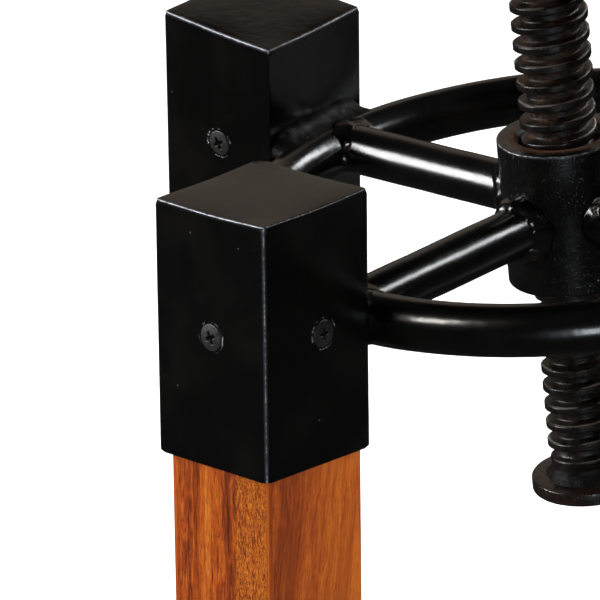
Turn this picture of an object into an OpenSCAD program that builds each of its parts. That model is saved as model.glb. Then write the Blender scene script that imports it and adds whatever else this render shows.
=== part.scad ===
// Bar stool with a round wooden seat on a threaded spindle. The spindle turns in a threaded
// hub, which four spokes hold in the middle of a steel ring, and the ring is welded to the
// steel caps of four splayed wooden legs. The origin is on the floor under the spindle.

/* [Stance] */
// Height of the top ring's centre plane above the floor
ring_plane_h = 520; // [490:5:550]
// Outward splay of each leg in degrees
leg_splay = 6.55; // [6:0.01:7.2]
// Direction of the first pair of legs, in degrees from the X axis
leg_line_a = 42.1; // [41:0.1:44]
// Direction of the second pair of legs
leg_line_b = 138.9; // [137:0.1:141]
// Turn of the first pair's square section from its own direction
section_turn_a = 4.8; // [0:0.1:6]
// Turn of the second pair's square section from its own direction
section_turn_b = 0; // [-2:0.1:2]

/* [Ring and spokes] */
// Radius of the top ring's centre line
ring_r = 88.5; // [87.5:0.1:88.5]
// Diameter of the ring's round bar
ring_bar_d = 14.8; // [14:0.1:15]
// Diameter of the spokes' round bar
spoke_bar_d = 14.4; // [13:0.1:14.6]
// Direction of the first pair of spokes
spoke_line_a = 45.25; // [45:0.25:48]
// Direction of the second pair of spokes
spoke_line_b = 135.25; // [134:0.25:136]

/* [Leg caps] */
// Outside width of the square cap
cap_w = 40.4; // [40:0.1:41]
// Length of the cap along the leg
cap_h = 73.6; // [65:0.1:85]
// Thickness of the cap's sheet
cap_wall = 1.8; // [1.5:0.1:2]
// Height of the cap's top above the ring's centre plane
cap_rise = 41.4; // [38:0.1:44]
// Distance of the cap's top from the stool's axis
cap_top_r = 110.6; // [110:0.1:111]
// Distance of the cap's screws below its top
cap_screw_drop = 36.1; // [30:0.1:40]

/* [Legs] */
// Width of the square wooden leg
leg_w = 36.2; // [35.5:0.1:36.4]
// Height of the foot ring's centre plane above the floor
foot_ring_h = 190; // [160:5:230]
// Diameter of the foot ring's round bar
foot_bar_d = 14.8; // [12:0.1:15]

/* [Hub and spindle] */
// Outside radius of the threaded hub
hub_r = 18; // [17:0.1:19]
// Height of the hub's top above the ring's centre plane
hub_top = 22; // [18:0.5:24]
// Depth of the hub's bottom below the ring's centre plane
hub_bottom = 21; // [18:0.5:23]
// Outside diameter of the spindle's thread
thread_d = 22; // [21:0.1:22.4]
// Rise of the thread in one turn
thread_pitch = 5.82; // [5.5:0.01:6]
// Depth of the thread
thread_depth = 2.7; // [2.4:0.1:2.8]
// Diameter of the stop disc under the spindle
stop_disc_d = 33; // [30:0.5:36]
// Depth of the stop disc's top below the ring's centre plane
stop_drop = 83.1; // [75:0.1:90]

/* [Seat] */
// Diameter of the seat
seat_d = 320; // [290:5:340]
// Thickness of the seat
seat_t = 28; // [24:1:32]
// Height of the seat's underside above the ring's centre plane, half raised
seat_rise = 132; // [125:1:140]

/* [Hidden] */
$fn = 96;

// The four corners, in the order front left, back left, front right, back right
leg_dir = [leg_line_a + 180, leg_line_b, leg_line_b + 180, leg_line_a];
leg_turn = [section_turn_a, section_turn_b, section_turn_b, section_turn_a];
spoke_dir = [spoke_line_a + 180, spoke_line_b, spoke_line_b + 180, spoke_line_a];
// Each cap's top was cut by hand, a little off square to its leg
cap_rake = [2.6, -2, 1.2, 0.6];
// Each cap's side holes were drilled by eye, this far inward from the middle of their faces
cap_screw_shift = [2.4, 0.4, -0.6, 0.8];
// Height of each spoke's line above the ring's centre plane, where it meets the spindle's axis
spoke_rise = [-0.8, 1.5, 0.4, -0.4];
corners = [0:3];

overcut = 1; // how far a cutting shape runs past the solid it cuts
cap_inner_w = cap_w - 2 * cap_wall;
leg_shift = (cap_inner_w - leg_w) / 2; // the leg bears on the cap's inner wall and one side
leg_drop = cap_wall + 0.5; // the leg's end stays just clear of the cap's top plate
leg_run = (ring_plane_h + cap_rise) / cos(leg_splay) + leg_w;
glide_d = 24;
glide_h = 5;
glide_pin_d = 5;
glide_pin_h = 14;
glide_edge = 1;
floor_w = 3 * seat_d; // width of the cut that levels the legs' feet

screw_d = 4;
screw_hole_d = 4.4;
screw_l = 15;
screw_point = 4;
screw_head_d = 8.4;
screw_head_h = 1.6;
screw_crown = 0.8;
recess_w = 1.1;
recess_l = 4.6;
recess_h = 1.4;

// The foot ring's tabs lie on the legs' inner faces, with the bar across their middle
tab_t = 3;
tab_w = 24;
tab_h = 58;
tab_screw_gap = 38;
foot_run = (ring_plane_h + cap_rise - foot_ring_h) / cos(leg_splay);
leg_inner_x = -leg_w / 2 - leg_shift;
foot_tab_x = leg_inner_x - tab_t;
bar_bite = 0.3; // the bar is ground flat by this much where it lies on a tab
foot_ring_r = cap_top_r + foot_run * sin(leg_splay) + foot_tab_x * cos(leg_splay)
    - foot_bar_d / 2 + bar_bite;

// Weld beads: how far they stand off the joint and how far they run along the bar
bead = 2.6;
bead_toe = 0.4; // thickness left at a bead's thin edge
bead_run = 4.5;
bead_set_off = 0.6 * bead; // distance of a straight bead's centre from the plane it lies on
bead_sink = 0.3 * bead; // how far its centre lies below the bar's top
hub_bead = 3.2;
plate_bead = 3.6;
cap_bead_l = 28;
tab_bead_l = 18;

// The thread is trapezoidal and right-handed
thread_steps = 20; // flats in one turn
ridge_bite = 0.3; // how far a ridge's root is sunk in the metal that carries it
crest_w = 2.3;
flank_angle = 15;
flank_w = thread_depth * tan(flank_angle);
thread_phase = 0.24; // height of the crest's centre on the +X side, from the ring's plane
crest_r = thread_d / 2;
root_r = crest_r - thread_depth;
run_out = 15; // steps over which the thread fades at each end
thread_end_gap = 0.2; // bare core left past the thread's last turn
thread_margin = crest_w / 2 + flank_w + thread_end_gap;
plate_t = 4;
spindle_top = seat_rise - plate_t;
first_step = ceil((-stop_drop + thread_margin - thread_phase) / thread_pitch * thread_steps);
last_step = floor((spindle_top - thread_margin - thread_phase) / thread_pitch * thread_steps);

// The hub's own thread runs in the spindle's groove with play all round
play = 0.3;
tip_play = 0.35;
hub_bore_r = crest_r + play;
hub_tip_r = root_r + tip_play;
hub_root_r = hub_bore_r + ridge_bite;
groove_root_w = thread_pitch - crest_w - 2 * flank_w;
hub_tip_w = groove_root_w + 2 * (hub_tip_r - root_r) * tan(flank_angle) - 2 * play;
hub_root_w = groove_root_w + 2 * (hub_root_r - root_r) * tan(flank_angle) - 2 * play;
hub_mouth_r = 12.7;
hub_mouth_h = 1.4;
hub_edge = 0.8;
hub_rim = 0.8;
hub_lead_in = 3; // length of plain bore below the hub's thread
hub_lead_out = 4; // length of plain bore above it
hub_groove_phase = thread_phase + thread_pitch / 2; // height of the spindle's groove on the +X side
hub_first_step = ceil((hub_lead_in - hub_bottom - hub_groove_phase) / thread_pitch * thread_steps);
hub_last_step = floor((hub_top - hub_lead_out - hub_groove_phase) / thread_pitch * thread_steps);

stop_disc_t = 4;
stop_edge = 0.8;
stop_weld_h = 3;
stop_weld_r = 14;
stop_weld_edge = 0.8; // thickness of the bead's upper end
collar_gap = 0.3;

collar_d = 34;
collar_h = 22;
collar_bore_d = thread_d + collar_gap;
plate_d = 150;
plate_screw_r = 60;
plate_screws = 6;
board_count = 5;
board_w = seat_d / board_count;
seat_top_edge = 8;
seat_bottom_edge = 3;
edge_steps = 4;

// A point of a vertical profile at radius r and height z, turned to a given angle
function polar_point(r, z, angle) = [r * cos(angle), r * sin(angle), z];

// Height of the thread's crest centre after a number of steps
function crest_z(step) = thread_phase + thread_pitch * step / thread_steps;

function step_angle(step) = 360 * step / thread_steps;

// Radius of the thread's crest at a step: it sinks into the core at either end
function crest_radius(step) = root_r - ridge_bite / 2 + (thread_depth + ridge_bite / 2)
    * min(1, (step - first_step) / run_out, (last_step - step) / run_out);

// The four corners of a ridge at one step, from its lower root to its upper root
function ridge_section(step, middle, base_r, base_w, tip_r, tip_w) = [
    polar_point(base_r, middle - base_w / 2, step_angle(step)),
    polar_point(tip_r, middle - tip_w / 2, step_angle(step)),
    polar_point(tip_r, middle + tip_w / 2, step_angle(step)),
    polar_point(base_r, middle + base_w / 2, step_angle(step))
];

// Two triangles for a four-sided face, clockwise from outside
function quad_faces(a, b, c, d) = [[a, d, c], [a, c, b]];

// Points on a quarter circle of radius r about a centre, from one angle to another
function arc_points(centre, r, from, to, steps) = [
    for (i = [0:steps])
        centre + r * [cos(from + (to - from) * i / steps), sin(from + (to - from) * i / steps)]
];

// Puts its children in a leg's own frame: the origin at the middle of the cap's top, +X
// outward, +Z up along the leg
module at_leg(i) {
    translate([0, 0, ring_plane_h + cap_rise])
        rotate([0, 0, leg_dir[i]])
            translate([cap_top_r, 0, 0])
                rotate([0, -leg_splay, 0])
                    rotate([0, 0, leg_turn[i]])
                        children();
}

// A square block hanging from the leg frame's origin, its top raked like the cap's
module raked_block(w, bottom, drop, rake) {
    lean = w / 2 * tan(rake);
    rotate([90, 0, 0])
        linear_extrude(w, center = true)
            polygon([
                [-w / 2, -bottom], [w / 2, -bottom], [w / 2, -drop - lean], [-w / 2, -drop + lean]
            ]);
}

module cap_envelope(i) {
    at_leg(i) raked_block(cap_w, cap_h, 0, cap_rake[i]);
}

// Puts its children at the three screw places of cap i, +Z out of the sheet
module at_cap_screws(i) {
    for (side = [0, 90, -90])
        rotate([0, 0, side])
            translate([cap_w / 2, side / 90 * cap_screw_shift[i], -cap_screw_drop])
                rotate([0, 90, 0])
                    children();
}

// Puts its children at the two screw places of a foot tab, +Z out of the tab
module at_tab_screws() {
    for (side = [-1, 1])
        translate([foot_tab_x, 0, -foot_run + side * tab_screw_gap / 2])
            rotate([0, -90, 0])
                children();
}

// A cross-head screw seated on the plane z = 0, its shank going down
module screw() {
    difference() {
        rotate_extrude()
            polygon([
                [0, -screw_l], [screw_d / 2, -screw_l + screw_point], [screw_d / 2, 0],
                [screw_head_d / 2, 0], [screw_head_d / 2, screw_head_h - screw_crown],
                [screw_head_d / 3, screw_head_h - screw_crown / 4], [0, screw_head_h]
            ]);
        for (turn = [0, 90])
            rotate([0, 0, turn])
                translate([-recess_l / 2, -recess_w / 2, screw_head_h - recess_h])
                    cube([recess_l, recess_w, recess_h + overcut]);
    }
}

// The hole that a screw's shank fills in the wood
module screw_bore() {
    translate([0, 0, -screw_l])
        cylinder(h = screw_l + overcut, d = screw_d);
}

// A ring of round bar lying flat at a height
module bar_ring(r, bar_d, z) {
    translate([0, 0, z])
        rotate_extrude()
            translate([r, 0])
                circle(d = bar_d);
}

// Puts its children in a spoke's frame: +Z outward along the spoke
module at_spoke(i) {
    translate([0, 0, ring_plane_h + spoke_rise[i]])
        rotate([0, 0, spoke_dir[i]])
            rotate([0, 90 + atan(spoke_rise[i] / ring_r), 0])
                children();
}

module spoke_bar(i) {
    at_spoke(i) cylinder(h = ring_r, d = spoke_bar_d);
}

module hub_envelope() {
    translate([0, 0, ring_plane_h - hub_bottom])
        cylinder(h = hub_bottom + hub_top, r = hub_r);
}

// A helical ridge through the sections given. Their roots face the axis when outward is
// true, and away from it when it is false.
module helical_ridge(sections, outward) {
    count = len(sections) - 1;
    sides = [
        for (k = [0:count - 1])
            for (j = [0:3])
                let (a = 4 * k + j, b = 4 * k + (j + 1) % 4)
                    each outward ? quad_faces(a, a + 4, b + 4, b) : quad_faces(b, b + 4, a + 4, a)
    ];
    first = outward ? [3, 2, 1, 0] : [0, 1, 2, 3];
    last = [for (j = [3:-1:0]) 4 * count + first[j]];
    polyhedron([for (section = sections) each section], concat(sides, [first, last]));
}

module nut_hub() {
    color([0.05, 0.05, 0.05]) {
        translate([0, 0, ring_plane_h])
            rotate_extrude()
                polygon([
                    [hub_bore_r, -hub_bottom], [hub_r - hub_edge, -hub_bottom],
                    [hub_r, -hub_bottom + hub_edge], [hub_r, hub_top - hub_rim],
                    [hub_r - hub_rim, hub_top], [hub_mouth_r, hub_top],
                    [hub_bore_r, hub_top - hub_mouth_h]
                ]);
        translate([0, 0, ring_plane_h])
            helical_ridge([
                for (step = [hub_first_step:hub_last_step])
                    ridge_section(step, crest_z(step) + thread_pitch / 2, hub_root_r, hub_root_w,
                        hub_tip_r, hub_tip_w)
            ], false);
    }
}

module spoke(i) {
    color([0.05, 0.05, 0.05])
        difference() {
            spoke_bar(i);
            hub_envelope();
            bar_ring(ring_r, ring_bar_d, ring_plane_h);
        }
}

module top_ring() {
    color([0.05, 0.05, 0.05])
        difference() {
            bar_ring(ring_r, ring_bar_d, ring_plane_h);
            for (i = corners)
                cap_envelope(i);
        }
}

module leg_cap(i) {
    color([0.06, 0.06, 0.06])
        at_leg(i)
            difference() {
                raked_block(cap_w, cap_h, 0, cap_rake[i]);
                raked_block(cap_inner_w, cap_h + overcut, cap_wall, cap_rake[i]);
                at_cap_screws(i)
                    translate([0, 0, -cap_wall - overcut])
                        cylinder(h = cap_wall + 2 * overcut, d = screw_hole_d);
            }
}

module cap_screws() {
    color([0.2, 0.2, 0.2])
        for (i = corners)
            at_leg(i) at_cap_screws(i) screw();
}

module leg(i) {
    color([0.68, 0.38, 0.16])
        difference() {
            at_leg(i)
                difference() {
                    translate([-leg_shift, leg_shift, 0])
                        raked_block(leg_w, leg_run, leg_drop, cap_rake[i]);
                    at_cap_screws(i) screw_bore();
                    at_tab_screws() screw_bore();
                }
            translate([0, 0, glide_h - 2 * leg_w])
                linear_extrude(2 * leg_w)
                    square(floor_w, center = true);
            foot_glide(i);
        }
}

module foot_glide(i) {
    reach = cap_top_r + (ring_plane_h + cap_rise - glide_h) * tan(leg_splay);
    color([0.12, 0.12, 0.12])
        rotate([0, 0, leg_dir[i]])
            translate([reach, 0, 0])
                rotate_extrude()
                    polygon([
                        [0, 0], [glide_d / 2 - glide_edge, 0], [glide_d / 2, glide_edge],
                        [glide_d / 2, glide_h], [glide_pin_d / 2, glide_h],
                        [glide_pin_d / 2, glide_h + glide_pin_h], [0, glide_h + glide_pin_h]
                    ]);
}

module foot_ring() {
    color([0.05, 0.05, 0.05])
        difference() {
            bar_ring(foot_ring_r, foot_bar_d, foot_ring_h);
            for (i = corners)
                at_leg(i) tab_envelope();
        }
}

module tab_envelope() {
    translate([foot_tab_x, -tab_w / 2, -foot_run - tab_h / 2])
        cube([tab_t, tab_w, tab_h]);
}

module foot_tab(i) {
    color([0.06, 0.06, 0.06])
        at_leg(i)
            difference() {
                tab_envelope();
                at_tab_screws()
                    translate([0, 0, -tab_t - overcut])
                        cylinder(h = tab_t + 2 * overcut, d = screw_hole_d);
            }
}

module foot_tab_screws() {
    color([0.2, 0.2, 0.2])
        for (i = corners)
            at_leg(i) at_tab_screws() screw();
}

module hub_welds() {
    color([0.07, 0.07, 0.07])
        for (i = corners)
            difference() {
                at_spoke(i)
                    translate([0, 0, hub_r - overcut])
                        cylinder(
                            h = bead_run + overcut,
                            r1 = spoke_bar_d / 2 + hub_bead,
                            r2 = spoke_bar_d / 2 + bead_toe
                        );
                spoke_bar(i);
                hub_envelope();
            }
}

module ring_spoke_welds() {
    color([0.07, 0.07, 0.07])
        for (i = corners)
            difference() {
                ring_spoke_bead(i);
                spoke_bar(i);
                bar_ring(ring_r, ring_bar_d, ring_plane_h);
                for (k = corners)
                    cap_envelope(k);
            }
}

// The beads above and below a ring's bar where it lies on a leg frame's inner plane x
module bar_beads(i, x, z, length, ring_radius, bar_d, ring_z) {
    for (side = [-1, 1])
        difference() {
            at_leg(i)
                translate([x - bead_set_off, -length / 2, z + side * (bar_d / 2 - bead_sink)])
                    rotate([-90, 0, 0])
                        cylinder(h = length, r = bead);
            bar_ring(ring_radius, bar_d, ring_z);
        }
}

module ring_cap_welds() {
    color([0.07, 0.07, 0.07])
        for (i = corners)
            difference() {
                bar_beads(i, -cap_w / 2, -cap_rise / cos(leg_splay), cap_bead_l, ring_r, ring_bar_d,
                    ring_plane_h);
                cap_envelope(i);
                spoke_bar(i);
                ring_spoke_bead(i);
            }
}

// The space that the bead between a spoke and the top ring takes
module ring_spoke_bead(i) {
    at_spoke(i)
        translate([0, 0, ring_r - ring_bar_d / 2 - bead_run])
            cylinder(
                h = bead_run + bead,
                r1 = spoke_bar_d / 2 + bead_toe,
                r2 = spoke_bar_d / 2 + bead
            );
}

module foot_ring_welds() {
    color([0.07, 0.07, 0.07])
        for (i = corners)
            difference() {
                bar_beads(i, foot_tab_x, -foot_run, tab_bead_l, foot_ring_r, foot_bar_d, foot_ring_h);
                at_leg(i) tab_envelope();
            }
}

module stop_disc() {
    r = stop_disc_d / 2;
    color([0.05, 0.05, 0.05])
        translate([0, 0, ring_plane_h - stop_drop - stop_disc_t])
            rotate_extrude()
                polygon([
                    [0, 0], [r - stop_edge, 0], [r, stop_edge], [r, stop_disc_t - stop_edge],
                    [r - stop_edge, stop_disc_t], [0, stop_disc_t]
                ]);
}

module stop_disc_weld() {
    color([0.07, 0.07, 0.07])
        translate([0, 0, ring_plane_h - stop_drop])
            rotate_extrude()
                polygon([
                    [crest_r + play, 0], [stop_weld_r, 0], [crest_r + stop_weld_edge, stop_weld_h],
                    [crest_r + play, stop_weld_h]
                ]);
}

module spindle() {
    color([0.1, 0.09, 0.08])
        translate([0, 0, ring_plane_h]) {
            translate([0, 0, -stop_drop])
                cylinder(h = stop_drop + spindle_top, r = root_r);
            helical_ridge([
                for (step = [first_step:last_step])
                    ridge_section(step, crest_z(step), root_r - ridge_bite, crest_w + 2 * flank_w,
                        crest_radius(step), crest_w)
            ], true);
        }
}

module seat_collar() {
    color([0.05, 0.05, 0.05])
        translate([0, 0, ring_plane_h + spindle_top - collar_h])
            difference() {
                cylinder(h = collar_h, d = collar_d);
                translate([0, 0, -overcut])
                    cylinder(h = collar_h + 2 * overcut, d = collar_bore_d);
            }
}

// Puts its children at the plate's screw places, +Z down out of the plate
module at_plate_screws() {
    for (k = [0:plate_screws - 1])
        rotate([0, 0, 360 / plate_screws * k])
            translate([plate_screw_r, 0, ring_plane_h + spindle_top])
                rotate([180, 0, 0])
                    children();
}

module seat_plate() {
    color([0.05, 0.05, 0.05])
        difference() {
            translate([0, 0, ring_plane_h + spindle_top])
                cylinder(h = plate_t, d = plate_d);
            at_plate_screws()
                translate([0, 0, -plate_t - overcut])
                    cylinder(h = plate_t + 2 * overcut, d = screw_hole_d);
        }
}

module seat_plate_weld() {
    color([0.07, 0.07, 0.07])
        translate([0, 0, ring_plane_h + spindle_top])
            rotate_extrude()
                polygon([[collar_d / 2, 0], [collar_d / 2 + plate_bead, 0], [collar_d / 2, -plate_bead]]);
}

module seat_screws() {
    color([0.2, 0.2, 0.2])
        at_plate_screws() screw();
}

// The whole round seat, its top edge rounded and its bottom edge eased
module seat_disc() {
    r = seat_d / 2;
    translate([0, 0, ring_plane_h + seat_rise])
        rotate_extrude()
            polygon(concat(
                [[0, 0]],
                arc_points([r - seat_bottom_edge, seat_bottom_edge], seat_bottom_edge, -90, 0, edge_steps),
                arc_points([r - seat_top_edge, seat_t - seat_top_edge], seat_top_edge, 0, 90, edge_steps),
                [[0, seat_t]]
            ));
}

// One of the seat's glued boards, which run from side to side
module seat_board(k) {
    color([0.66, 0.38, 0.18])
        difference() {
            intersection() {
                seat_disc();
                translate([0, (k - (board_count - 1) / 2) * board_w, ring_plane_h + seat_rise + seat_t / 2])
                    cube([seat_d + 2 * overcut, board_w, seat_t + 2 * overcut], center = true);
            }
            at_plate_screws() screw_bore();
        }
}

nut_hub();
spoke(0);  // spoke_front_left
spoke(1);  // spoke_back_left
spoke(2);  // spoke_front_right
spoke(3);  // spoke_back_right
top_ring();
leg_cap(0);  // leg_cap_front_left
leg_cap(1);  // leg_cap_back_left
leg_cap(2);  // leg_cap_front_right
leg_cap(3);  // leg_cap_back_right
cap_screws();
leg(0);  // leg_front_left
leg(1);  // leg_back_left
leg(2);  // leg_front_right
leg(3);  // leg_back_right
foot_glide(0);  // foot_glide_front_left
foot_glide(1);  // foot_glide_back_left
foot_glide(2);  // foot_glide_front_right
foot_glide(3);  // foot_glide_back_right
foot_ring();
foot_tab(0);  // foot_tab_front_left
foot_tab(1);  // foot_tab_back_left
foot_tab(2);  // foot_tab_front_right
foot_tab(3);  // foot_tab_back_right
foot_tab_screws();
hub_welds();
ring_spoke_welds();
ring_cap_welds();
foot_ring_welds();
stop_disc();
stop_disc_weld();
spindle();
seat_collar();
seat_plate();
seat_plate_weld();
seat_screws();
seat_board(0);  // seat_board_1
seat_board(1);  // seat_board_2
seat_board(2);  // seat_board_3
seat_board(3);  // seat_board_4
seat_board(4);  // seat_board_5
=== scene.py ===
"""Looks of the screw-lift bar stool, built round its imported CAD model. Units are metres."""

import itertools
import math

import bpy
import bmesh
import numpy as np
from mathutils import Matrix, Vector


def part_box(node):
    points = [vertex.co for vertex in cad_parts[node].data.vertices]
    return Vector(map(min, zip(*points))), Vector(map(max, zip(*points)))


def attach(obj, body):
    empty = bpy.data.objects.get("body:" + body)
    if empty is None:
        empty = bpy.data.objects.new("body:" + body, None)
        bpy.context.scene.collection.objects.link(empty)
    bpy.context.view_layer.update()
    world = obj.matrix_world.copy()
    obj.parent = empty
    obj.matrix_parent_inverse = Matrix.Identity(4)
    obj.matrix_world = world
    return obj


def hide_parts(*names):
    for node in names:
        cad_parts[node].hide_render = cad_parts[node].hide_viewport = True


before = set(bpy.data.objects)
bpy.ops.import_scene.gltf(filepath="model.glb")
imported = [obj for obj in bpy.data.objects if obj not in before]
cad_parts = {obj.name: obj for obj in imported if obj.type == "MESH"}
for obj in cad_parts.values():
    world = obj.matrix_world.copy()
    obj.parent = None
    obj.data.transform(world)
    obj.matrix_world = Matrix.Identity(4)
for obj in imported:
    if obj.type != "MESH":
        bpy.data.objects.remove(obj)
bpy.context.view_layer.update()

MM = 0.001
CORNERS = ("front_left", "back_left", "front_right", "back_right")


# ---------------------------------------------------------------- driving sizes
# What a node's box gives is read from it; the rest repeats the design's own values.
def lowest(node):
    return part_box(node)[0]


def highest(node):
    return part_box(node)[1]


def size_of(node):
    return highest(node) - lowest(node)


def middle_height(node):
    return (lowest(node).z + highest(node).z) / 2


RING_BAR_R = size_of("top_ring").z / 2
RING_R = size_of("top_ring").x / 2 - RING_BAR_R
RING_H = middle_height("top_ring")
FOOT_BAR_R = size_of("foot_ring").z / 2
FOOT_RING_R = size_of("foot_ring").x / 2 - FOOT_BAR_R
FOOT_RING_H = middle_height("foot_ring")
HUB_R = size_of("nut_hub").x / 2
HUB_LOW = lowest("nut_hub").z
HUB_HIGH = highest("nut_hub").z
SPINDLE_LOW = lowest("spindle").z
SPINDLE_HIGH = highest("spindle").z
CREST_R = size_of("spindle").x / 2
SEAT_R = size_of("seat_board_3").x / 2
SEAT_LOW = lowest("seat_board_3").z
SEAT_HIGH = highest("seat_board_3").z
PLATE_R = size_of("seat_plate").x / 2
PLATE_LOW = lowest("seat_plate").z
PLATE_HIGH = highest("seat_plate").z
COLLAR_R = size_of("seat_collar").x / 2
COLLAR_LOW = lowest("seat_collar").z
STOP_R = size_of("stop_disc").x / 2
STOP_LOW = lowest("stop_disc").z
STOP_HIGH = highest("stop_disc").z

SPLAY = math.radians(6.55)
LEG_DIR = [math.radians(a) for a in (222.1, 138.9, 318.9, 42.1)]
LEG_TURN = [math.radians(a) for a in (4.8, 0.0, 0.0, 4.8)]
CAP_RAKE = [math.radians(a) for a in (2.6, -2.0, 1.2, 0.6)]
SPOKE_DIR = [math.radians(a) for a in (225.25, 135.25, 315.25, 45.25)]
SPOKE_RISE = [h * MM for h in (-0.8, 1.5, 0.4, -0.4)]
SPOKE_R = 7.2 * MM
CAP_W = 40.4 * MM
CAP_H = 73.6 * MM
CAP_WALL = 1.8 * MM
CAP_TOP_R = 110.6 * MM
CAP_RISE = 41.4 * MM
SCREW_DROP = 36.1 * MM
SCREW_SHIFT = [d * MM for d in (2.4, 0.4, -0.6, 0.8)]
LEG_W = 36.2 * MM
LEG_SHIFT = (CAP_W - 2 * CAP_WALL - LEG_W) / 2
LEG_DROP = CAP_WALL + 0.5 * MM
GLIDE_R = 12 * MM
GLIDE_H = 5 * MM
PITCH = 5.82 * MM
THREAD_DEPTH = 2.7 * MM
CREST_W = 2.3 * MM
THREAD_PHASE = 0.24 * MM
BORE_R = CREST_R + 0.3 * MM
TAB_T = 3 * MM
TAB_W = 24 * MM
TAB_H = 58 * MM
TAB_SCREW_GAP = 38 * MM
HEAD_R = 4.2 * MM
HEAD_H = 1.0 * MM
FOOT_RUN = (RING_H + CAP_RISE - FOOT_RING_H) / math.cos(SPLAY)
TAB_X = -LEG_W / 2 - LEG_SHIFT - TAB_T
PLATE_SCREW_R = 60 * MM
BOARD_W = 64 * MM


# ---------------------------------------------------------------- numbers and meshes
NOISE_STRIDE = np.array((374761393, 668265263, 2147483647))
NOISE_MIXER = 1274126177


def value_noise(points, cell, seed):
    """Smooth noise from -1 to 1 at each point, on a lattice of the given cell."""
    p = np.asarray(points, float) / cell + seed * 17.31
    base = np.floor(p).astype(np.int64)
    f = p - base
    f = f * f * (3 - 2 * f)
    total = np.zeros(len(p))
    for step in itertools.product((0, 1), repeat=3):
        h = (base + step) @ NOISE_STRIDE
        h = (h ^ (h >> 13)) * NOISE_MIXER
        h = ((h ^ (h >> 16)) & 0xFFFF) / 65535.0
        total += np.where(step, f, 1 - f).prod(axis=1) * h
    return total * 2 - 1


def layered_noise(points, *layers):
    """The sum of several noises, each given as a cell and a size in millimetres and a seed."""
    return sum(value_noise(points, cell * MM, seed) * size * MM for cell, size, seed in layers)


def dents(points, cell, seed, depth):
    """How far out each point of a surface is moved: from minus the depth to 0."""
    return np.minimum(value_noise(points, cell, seed), 0) * depth


def smoothstep(low, high, x):
    t = np.clip((np.asarray(x, float) - low) / (high - low), 0, 1)
    return t * t * (3 - 2 * t)


def fade(distance, reach):
    """1 where the distance is 0, falling evenly to 0 at the reach."""
    return 1 - np.clip(distance / reach, 0, 1)


def turn_round(count):
    """Evenly spaced angles of a full turn, as an array."""
    return np.arange(count) * 2 * math.pi / count


def circle(angles):
    """Points at these angles on a level circle, 1 from its middle."""
    return np.column_stack([np.cos(angles), np.sin(angles), np.zeros(len(angles))])


def new_object(name, verts, faces, material, smooth=True):
    mesh = bpy.data.meshes.new(name)
    mesh.from_pydata([tuple(v) for v in np.asarray(verts, float)], [], faces)
    mesh.validate()
    mesh.materials.append(material)
    mesh.polygons.foreach_set("use_smooth", [smooth] * len(mesh.polygons))
    obj = bpy.data.objects.new(name, mesh)
    bpy.context.scene.collection.objects.link(obj)
    return obj


def face_outward(obj):
    mesh = bmesh.new()
    mesh.from_mesh(obj.data)
    bmesh.ops.recalc_face_normals(mesh, faces=mesh.faces)
    mesh.to_mesh(obj.data)
    mesh.free()


def new_piece(name, verts, faces, material, node, body="stand", slot="black_steel", smooth=True):
    """A solid that is seen in place of the CAD node and moves with the body."""
    piece = new_object(name, verts, faces, material, smooth)
    face_outward(piece)
    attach(piece, body)
    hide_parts(node)
    return piece


def store(obj, name, values):
    """Keeps one number or one vector for each vertex, for the material to read."""
    values = np.asarray(values, np.float32)
    kind, field = ("FLOAT", "value") if values.ndim == 1 else ("FLOAT_VECTOR", "vector")
    attribute = obj.data.attributes.new(name, kind, "POINT")
    attribute.data.foreach_set(field, values.ravel())


def moved(points, matrix):
    points = np.asarray(points, float)
    return points @ np.array(matrix.to_3x3()).T + np.array(matrix.translation)


def turned(vector, matrix):
    return np.array(matrix.to_3x3() @ Vector(vector))


def unit(vector):
    return vector / np.linalg.norm(vector)


def pointing(azimuth, elevation):
    """A direction: azimuth 0 is behind the stool and a quarter turn is on its right."""
    level = math.cos(elevation)
    return Vector((math.sin(azimuth) * level, math.cos(azimuth) * level, math.sin(elevation)))


def radial(points, reach=None):
    """Each point's direction away from Z, which is 1 long, or 1 long at the reach."""
    r = np.maximum(np.hypot(points[:, 0], points[:, 1]), 1e-6)[:, None] if reach is None else reach
    return points * (1, 1, 0) / r


def ring_faces(rings, count, start=0):
    """Quads between successive rings of count points."""
    faces = []
    for k in range(rings - 1):
        for j in range(count):
            a = start + k * count + j
            b = start + k * count + (j + 1) % count
            faces.append((a, b, b + count, a + count))
    return faces


def fan(start, count, pole):
    """Triangles from a ring of count points to one point."""
    return [(start + j, start + (j + 1) % count, pole) for j in range(count)]


def lathe(profile, segments):
    """Points and faces of a solid turned round Z, from a profile of (r, z). It closes on itself,
    or at a pole where its first or last point has r = 0."""
    rings = [(r, z) for r, z in profile if r > 0]
    verts = [(r * math.cos(a), r * math.sin(a), z) for r, z in rings for a in turn_round(segments)]
    faces = ring_faces(len(rings), segments)
    last = (len(rings) - 1) * segments
    for (r, z), start in ((profile[0], 0), (profile[-1], last)):
        if r == 0:
            faces += fan(start, segments, len(verts))
            verts.append((0, 0, z))
    if len(rings) == len(profile):
        faces += [(last + j, last + (j + 1) % segments, (j + 1) % segments, j) for j in range(segments)]
    return np.array(verts), faces


def arc(cx, cy, r, start, end, steps):
    """Points of an arc in the plane, angles in degrees."""
    angles = np.radians(np.linspace(start, end, steps + 1))
    return [(cx + r * math.cos(a), cy + r * math.sin(a)) for a in angles]


def spaced(a, b, count):
    """Points between two profile points, without the two themselves."""
    shares = np.linspace(0, 1, count + 2)[1:-1]
    return [tuple(np.array(a) + (np.array(b) - np.array(a)) * t) for t in shares]


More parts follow.
